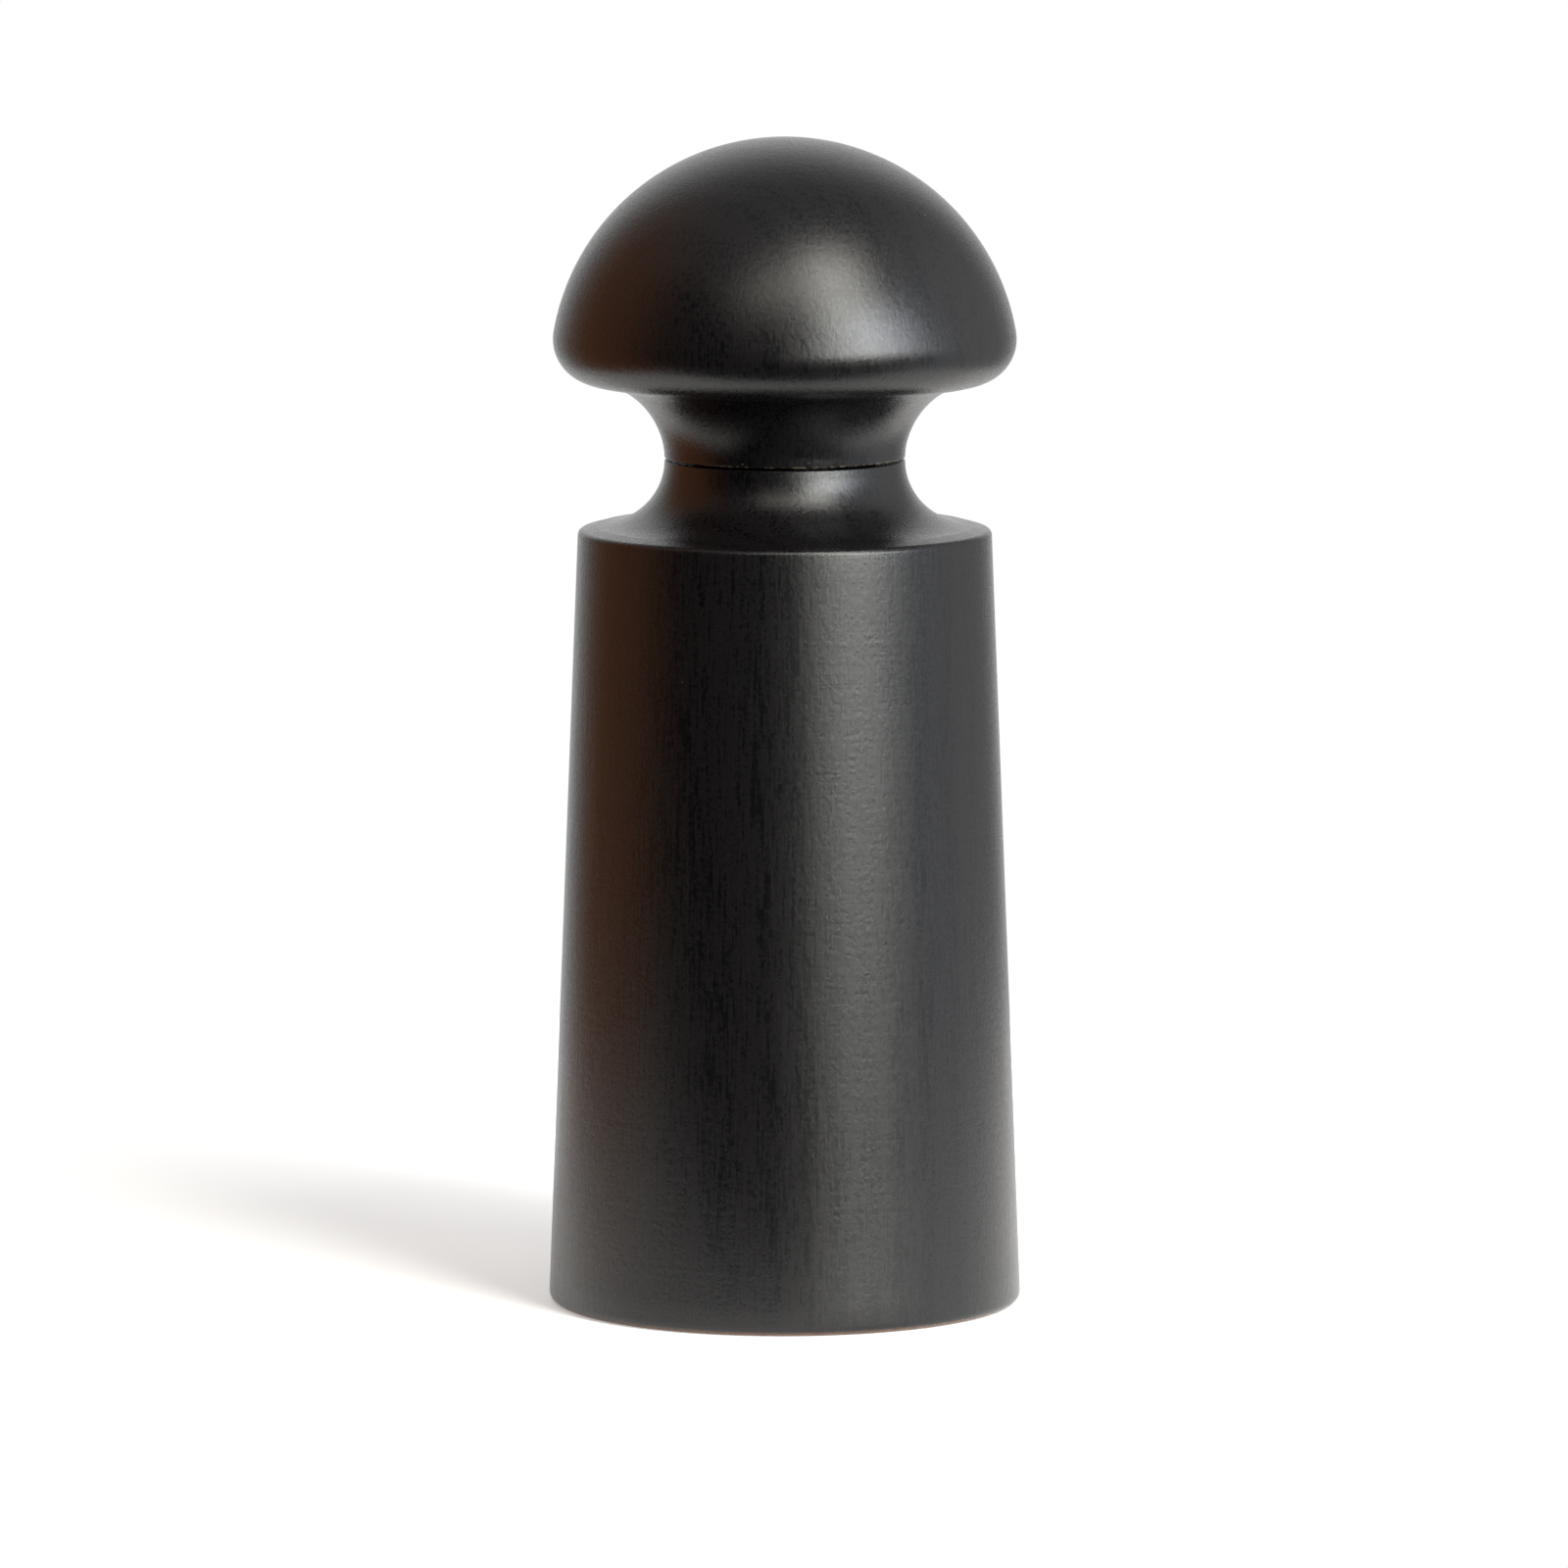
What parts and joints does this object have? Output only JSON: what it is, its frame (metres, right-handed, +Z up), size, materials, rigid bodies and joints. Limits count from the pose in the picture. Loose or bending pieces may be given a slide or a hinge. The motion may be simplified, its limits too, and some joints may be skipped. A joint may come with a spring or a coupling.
{
  "type": "pepper mill",
  "caption": "Turned black-stained wooden pepper mill: a mushroom head that pulls off for filling, over a waisted conical barrel with a ceramic grinder set by a dial under the foot.",
  "frame": {"origin": "centre of the foot's underside, on the surface that the mill stands on", "axes": "+Z up along the turning axis, from the foot to the top of the head; +X and +Y are level"},
  "size_m": [0.06, 0.06, 0.1483],
  "materials": {
    "ebonised_wood": "black-stained, satin",
    "black_plastic": "moulded, fine matt",
    "white_acetal": "machined, satin",
    "white_ceramic": "pressed and fired, unglazed",
    "aluminium_bar": "drawn bar, satin",
    "bright_steel": "zinc plated"
  },
  "bodies": {
    "barrel": {"barrel": "ebonised_wood", "grinder_housing": "black_plastic", "stator_burr": "white_ceramic", "burr_retainer": "black_plastic", "housing_screw_1": "bright_steel", "housing_screw_2": "bright_steel", "housing_screw_3": "bright_steel"},
    "spindle": {"drive_spindle": "aluminium_bar", "spindle_bush": "white_acetal", "spindle_clip": "bright_steel", "spring_washer": "bright_steel", "burr_spring": "bright_steel"},
    "head": {"head": "ebonised_wood", "drive_socket": "black_plastic", "grip_ring": "bright_steel", "socket_screw_1": "bright_steel", "socket_screw_2": "bright_steel"},
    "rotor": {"rotor_carrier": "black_plastic", "rotor_burr": "white_ceramic"},
    "dial": {"adjuster_dial": "black_plastic", "dial_nut": "bright_steel", "dial_washer": "bright_steel"}
  },
  "joints": [
    {"name": "grind_turn", "type": "hinge", "parent": "barrel", "child": "spindle", "pos_m": [0, 0, 0.0333], "axis": [0, 0, 1], "continuous": true},
    {"name": "head_lift", "type": "slide", "parent": "spindle", "child": "head", "axis": [0, 0, 1], "range_m": [0, 0.03]},
    {"name": "burr_travel", "type": "slide", "parent": "spindle", "child": "rotor", "axis": [0, 0, 1], "range_m": [-0.00075, 0.00075], "deforming": ["burr_spring"]},
    {"name": "dial_turn", "type": "hinge", "parent": "rotor", "child": "dial", "pos_m": [0, 0, 0.0048], "axis": [0, 0, 1], "range_deg": [-270, 270]}
  ],
  "couplings": [
    {"joint": "dial_turn", "follows": "burr_travel", "rad_per_m": 6283.2}
  ]
}
